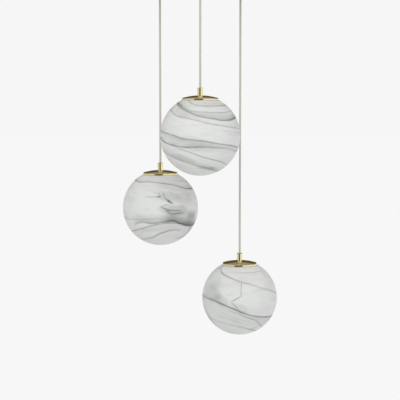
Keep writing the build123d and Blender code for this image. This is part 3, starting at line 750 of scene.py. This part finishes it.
def thread_piece(name: str, radius: float, length: float, pitch: float, depth: float) -> bpy.types.Object:
    """Round-bottomed screw thread that stands on Z = 0.

    Args:
        name: the piece's name.
        radius: outer radius.
        length: length along Z.
        pitch: rise of one turn.
        depth: depth of the groove.

    Returns:
        The new piece.
    """
    segments = 32
    rows = max(2, round(length / pitch * 8))
    verts, faces = [], []
    for row in range(rows + 1):
        z = length * row / rows
        for n in range(segments):
            t = 2 * math.pi * n / segments
            r = radius - depth * (0.5 - 0.5 * math.cos(2 * math.pi * z / pitch - t))
            verts.append((r * math.cos(t), r * math.sin(t), z))
    for row in range(rows):
        for n in range(segments):
            a, b = row * segments + n, row * segments + (n + 1) % segments
            faces.append((a, b, b + segments, a + segments))
    faces.append(tuple(range(segments))[::-1])
    faces.append(tuple(rows * segments + n for n in range(segments)))
    mesh = bpy.data.meshes.new(name)
    mesh.from_pydata(verts, [], faces)
    mesh.shade_smooth()
    mesh.set_sharp_from_angle(angle=math.radians(50))
    piece = bpy.data.objects.new(name, mesh)
    bpy.context.scene.collection.objects.link(piece)
    return piece


def dress(piece: bpy.types.Object, material: bpy.types.Material) -> None:
    """Gives a piece one material."""
    piece.data.materials.clear()
    piece.data.materials.append(material)


def dress_node(node: str, finish: Finish) -> None:
    """Gives a CAD node its finish."""
    dress(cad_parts[node], finish.material)


# The light

@dataclass
class Canopy:
    """The canopy with its bracket, nuts, terminal block and leads."""

    stud_radius: float = 0.002
    stud_pitch: float = 0.0007
    finishes: dict[str, Finish] = field(default_factory=lambda: {
        "ceiling_bracket": Finish.ZINC,
        "supply_grommet": Finish.RUBBER,
        "canopy_cover": Finish.GOLD,
        "stud_locknuts": Finish.ZINC,
        "canopy_cap_nuts": Finish.GOLD,
        "outlet_locknuts": Finish.ZINC,
        "terminal_block": Finish.NYLON,
        "terminal_screws": Finish.BRASS,
        "live_leads": Finish.LIVE,
        "neutral_leads": Finish.NEUTRAL,
        "earth_lead": Finish.EARTH,
        "earth_screw": Finish.BRASS,
    })

    def build(self) -> None:
        """Dresses the nodes and cuts the studs' threads."""
        for node, finish in self.finishes.items():
            dress_node(node, finish)
        low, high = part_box("canopy_studs")
        places = [low.x + self.stud_radius, high.x - self.stud_radius]
        for number, x in enumerate(places, 1):
            stud = thread_piece(f"threaded_stud_{number}", self.stud_radius, high.z - low.z, self.stud_pitch, 0.00035)
            stud.location = (x, (low.y + high.y) / 2, low.z)
            dress(stud, Finish.ZINC.material)
            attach(stud, "canopy")
        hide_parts("canopy_studs")
        log.info("canopy: %d nodes dressed, 2 studs threaded", len(self.finishes))


@dataclass
class Pendant:
    """One pendant: outlet, ball, cord, cap with its tube, holder, bulb and marbled globe."""

    number: int
    marble: Marble
    globe_radius: float = 0.1
    globe_wall: float = 0.003
    hole_radius: float = 0.04
    lip: float = 0.001
    cap_thick: float = 0.0008
    cap_rim: float = 0.046
    cap_dome: float = 0.16
    cap_rise: float = 0.0005
    cap_round: float = 0.0025
    seal_gap: float = 0.0003
    bore: float = 0.00505
    seat_radius: float = 0.01179
    cord_diameter: float = 0.0055
    centre: Vector = field(init=False)

    def __post_init__(self) -> None:
        """Finds where the globe hangs."""
        low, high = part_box(f"glass_globe_{self.number}")
        self.centre = Vector(((low.x + high.x) / 2, (low.y + high.y) / 2, low.z + self.globe_radius))

    def _keep(self, piece: bpy.types.Object, body: str, slot: str, *nodes: str) -> None:
        """Puts a piece in its place, on its body, and lets it stand for nodes."""
        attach(piece, f"{body}_{self.number}")
        if nodes:
            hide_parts(*(f"{node}_{self.number}" for node in nodes))

    def globe(self) -> None:
        """Blown globe with a softened edge at its opening."""
        outer, inner = self.globe_radius, self.globe_radius - self.globe_wall
        top_out = math.degrees(math.acos((self.hole_radius + self.lip) / outer))
        top_in = math.degrees(math.acos((self.hole_radius + self.lip) / inner))
        edge_z = (math.sqrt(outer**2 - self.hole_radius**2), math.sqrt(inner**2 - self.hole_radius**2))
        lip = [(self.hole_radius, edge_z[0] - self.lip), (self.hole_radius, edge_z[1] + self.lip)]
        profile = [*arc(outer, -90, top_out, 72), *lip, *arc(inner, top_in, -90, 60)]
        piece = turned_piece(f"marbled_globe_{self.number}", profile, 160)
        piece.location = self.centre
        dress(piece, self.marble.build())
        self._keep(piece, "globe", "marble_glass", "glass_globe")

    def _cap_side(self, inset: float, flat: float) -> list[Point]:
        """One face of the cap, from its seat over the dome and the shoulder to the wall.

        Args:
            inset: how far the face lies inside the cap's outer face.
            flat: height at which the dome meets the seat.

        Returns:
            Points from the seat outwards.
        """
        middle = self.globe_radius + self.cap_rise - self.cap_dome
        corner_r = self.cap_rim - self.cap_round
        corner_z = middle + math.sqrt((self.cap_dome - self.cap_round) ** 2 - corner_r**2)
        top = math.degrees(math.asin((flat - middle) / (self.cap_dome - inset)))
        turn = math.degrees(math.atan2(corner_z - middle, corner_r))
        dome = arc(self.cap_dome - inset, top, turn, 24, (0.0, middle))
        return dome + arc(self.cap_round - inset, turn, 0, 12, (corner_r, corner_z))[1:]

    def cap(self) -> None:
        """Spun cap, flatter than the globe, with a round shoulder and a flat seat."""
        glass = self.globe_radius + self.seal_gap
        rim_in = self.cap_rim - self.cap_thick
        middle = self.globe_radius + self.cap_rise - self.cap_dome
        seat = middle + math.sqrt(self.cap_dome**2 - self.seat_radius**2)
        under = seat - self.cap_thick
        profile = [
            (self.bore, seat),
            *self._cap_side(0.0, seat),
            (self.cap_rim, math.sqrt(glass**2 - self.cap_rim**2)),
            (rim_in, math.sqrt(glass**2 - rim_in**2)),
            *self._cap_side(self.cap_thick, under)[::-1],
            (self.bore, under),
        ]
        piece = turned_piece(f"spun_cap_{self.number}", profile, 160)
        piece.location = self.centre
        dress(piece, Finish.GOLD.material)
        self._keep(piece, "lamp", "gold_fittings", "globe_cap")

    def cord(self) -> None:
        """Braided cord that runs straight from the ball into the holder."""
        low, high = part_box(f"cord_{self.number}")
        x, y = (low.x + high.x) / 2, (low.y + high.y) / 2
        length = high.z - low.z
        curve = bpy.data.curves.new(f"braided_cord_{self.number}", "CURVE")
        curve.dimensions = "3D"
        curve.bevel_depth = self.cord_diameter / 2
        curve.bevel_resolution = 8
        curve.use_fill_caps = True
        spline = curve.splines.new("NURBS")
        spline.points.add(2)
        for point, share in zip(spline.points, (0.0, 0.5, 1.0)):
            point.co = (0.0, 0.0, -length * share, 1.0)
        spline.order_u = 3
        spline.use_endpoint_u = True
        piece = bpy.data.objects.new(curve.name, curve)
        bpy.context.scene.collection.objects.link(piece)
        piece.location = (x, y, high.z)
        curve.materials.append(Finish.CORD.material)
        self._keep(piece, "hanging_cord", "cord_fabric", "cord")

    def fittings(self) -> None:
        """Dresses the nodes that keep their CAD shape."""
        finishes = {
            "swivel_outlet": Finish.GOLD, "swivel_ball": Finish.NYLON, "grip_tube": Finish.GOLD,
            "grub_screw": Finish.GOLD, "globe_seal": Finish.SILICONE, "nipple": Finish.ZINC,
            "clamp_nut": Finish.ZINC, "spring_holder": Finish.SPRING, "lampholder": Finish.HOLDER,
            "holder_contacts": Finish.BRASS, "bulb_cap": Finish.NICKEL, "bulb_glass": Finish.BULB,
        }
        for node, finish in finishes.items():
            dress_node(f"{node}_{self.number}", finish)

    def build(self) -> None:
        """Builds and dresses the whole pendant."""
        self.cord()
        self.globe()
        self.cap()
        self.fittings()
        log.info("pendant %d: cord, globe, cap and fittings", self.number)


@dataclass
class Studio:
    """Camera, soft lamps, pale floor and a white surround."""

    camera_place: tuple[float, float, float] = (-0.0005, -3.103, -0.261)
    pitch: float = 5.506
    lens: float = 107.37
    floor_z: float = -1.6
    backdrop: float = 0.924
    floor_glow: float = 0.951
    daylight: float = 0.7
    dark_panel: Colour = (0.1, 0.07, 0.03)
    dim_roof: Colour = (0.42, 0.39, 0.34)
    left_wall: Colour = (0.74, 0.74, 0.74)
    dark_screen: Colour = (0.12, 0.1, 0.05)

    def camera(self) -> None:
        """Camera where the photograph was taken from."""
        camera = bpy.data.objects.new("camera", bpy.data.cameras.new("camera"))
        bpy.context.scene.collection.objects.link(camera)
        camera.data.lens = self.lens
        camera.data.sensor_width = 36.0
        camera.location = self.camera_place
        camera.rotation_euler = (math.radians(90 - self.pitch), 0.0, 0.0)
        bpy.context.scene.camera = camera

    def world(self) -> None:
        """White surround, with the dark panels that polished metal shows."""
        world = bpy.data.worlds.new("studio")
        world.use_nodes = True
        bpy.context.scene.world = world
        shade = Shade(world.node_tree)
        x, y, z = shade.parts(shade.node("ShaderNodeTexCoord", {}, {}).outputs["Generated"])
        rise = z.arcsine() * (180 / math.pi)
        turn = x.turn_from(y * -1.0) * (180 / math.pi)
        far_side = abs(turn).step(75.0, 115.0)
        panel = far_side * rise.step(3.0, 8.0) * (1.0 - rise.step(21.0, 44.0))
        roof = rise.step(21.0, 40.0) * far_side + rise.step(24.0, 34.0) * (1.0 - far_side)
        screen = turn.step(-43.0, -33.0) * (1.0 - turn.step(13.0, 23.0)) * rise.step(24.0, 18.0) * rise.step(-45.0, -30.0)
        white = (1.0, 1.0, 1.0)
        mirrored = shade.mix(turn.step(-80.0, 40.0), self.left_wall, white)
        mirrored = shade.mix(roof, mirrored, self.dim_roof)
        mirrored = shade.mix(panel, mirrored, self.dark_panel)
        mirrored = shade.mix(screen, mirrored, self.dark_screen)
        path = shade.node("ShaderNodeLightPath", {}, {})
        camera_ray = Value(shade, path.outputs["Is Camera Ray"])
        glossy_ray = Value(shade, path.outputs["Is Glossy Ray"])
        strength = camera_ray * self.backdrop + glossy_ray + (1.0 - camera_ray - glossy_ray) * self.daylight
        seen = shade.mix(glossy_ray, white, mirrored)
        surround = shade.node("ShaderNodeBackground", {}, {"Color": seen, "Strength": strength})
        shade.node("ShaderNodeOutputWorld", {}, {"Surface": surround.outputs[0]})

    def floor(self) -> None:
        """Plain pale floor that keeps a faint shadow."""
        half = 30.0
        mesh = bpy.data.meshes.new("floor")
        corners = [(-half, -half, 0.0), (half, -half, 0.0), (half, half, 0.0), (-half, half, 0.0)]
        mesh.from_pydata(corners, [], [(0, 1, 2, 3)])
        floor = bpy.data.objects.new("floor", mesh)
        floor.location = (0.0, 0.0, self.floor_z)
        bpy.context.scene.collection.objects.link(floor)
        material, shade = make_material("pale_floor")
        paint = shade.node("ShaderNodeBsdfDiffuse", {}, {"Color": (0.85, 0.85, 0.85, 1.0)}).outputs[0]
        glow = shade.node("ShaderNodeEmission", {}, {"Color": (1.0, 1.0, 1.0, 1.0), "Strength": self.floor_glow}).outputs[0]
        camera_ray = Value(shade, shade.node("ShaderNodeLightPath", {}, {}).outputs["Is Camera Ray"])
        surface = shade.node("ShaderNodeMixShader", {}, {0: camera_ray * 0.94, 1: paint, 2: glow})
        shade.node("ShaderNodeOutputMaterial", {}, {"Surface": surface.outputs[0]})
        mesh.materials.append(material)
        floor.visible_glossy = False

    def lamp(self, name: str, place: tuple[float, float, float], size: float, power: float) -> None:
        """Square soft lamp aimed at the middle of the light.

        Args:
            name: the lamp's name.
            place: where it stands.
            size: length of its side.
            power: watts.
        """
        data = bpy.data.lights.new(name, "AREA")
        data.size, data.energy = size, power
        lamp = bpy.data.objects.new(name, data)
        lamp.location = place
        aim = Vector((0.0, 0.0, -0.55)) - Vector(place)
        lamp.rotation_euler = aim.to_track_quat("-Z", "Y").to_euler()
        lamp.visible_glossy = False
        bpy.context.scene.collection.objects.link(lamp)

    def build(self) -> None:
        """Sets the whole studio up."""
        self.camera()
        self.world()
        self.floor()
        self.lamp("key_lamp", (-0.9, -2.6, 1.1), 1.8, 22.0)
        self.lamp("fill_lamp", (1.6, -2.4, 0.2), 1.8, 9.0)
        bpy.context.scene.view_settings.view_transform = "Standard"
        log.info("studio: camera, surround, floor and lamps")


def main() -> None:
    """Builds the studio and the light."""
    logging.basicConfig(level=logging.INFO, format="%(message)s")
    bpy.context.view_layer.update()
    Studio().build()
    for number, marble in enumerate(MARBLES, 1):
        Pendant(number, marble).build()
    Canopy().build()


if __name__ == "__main__":
    main()
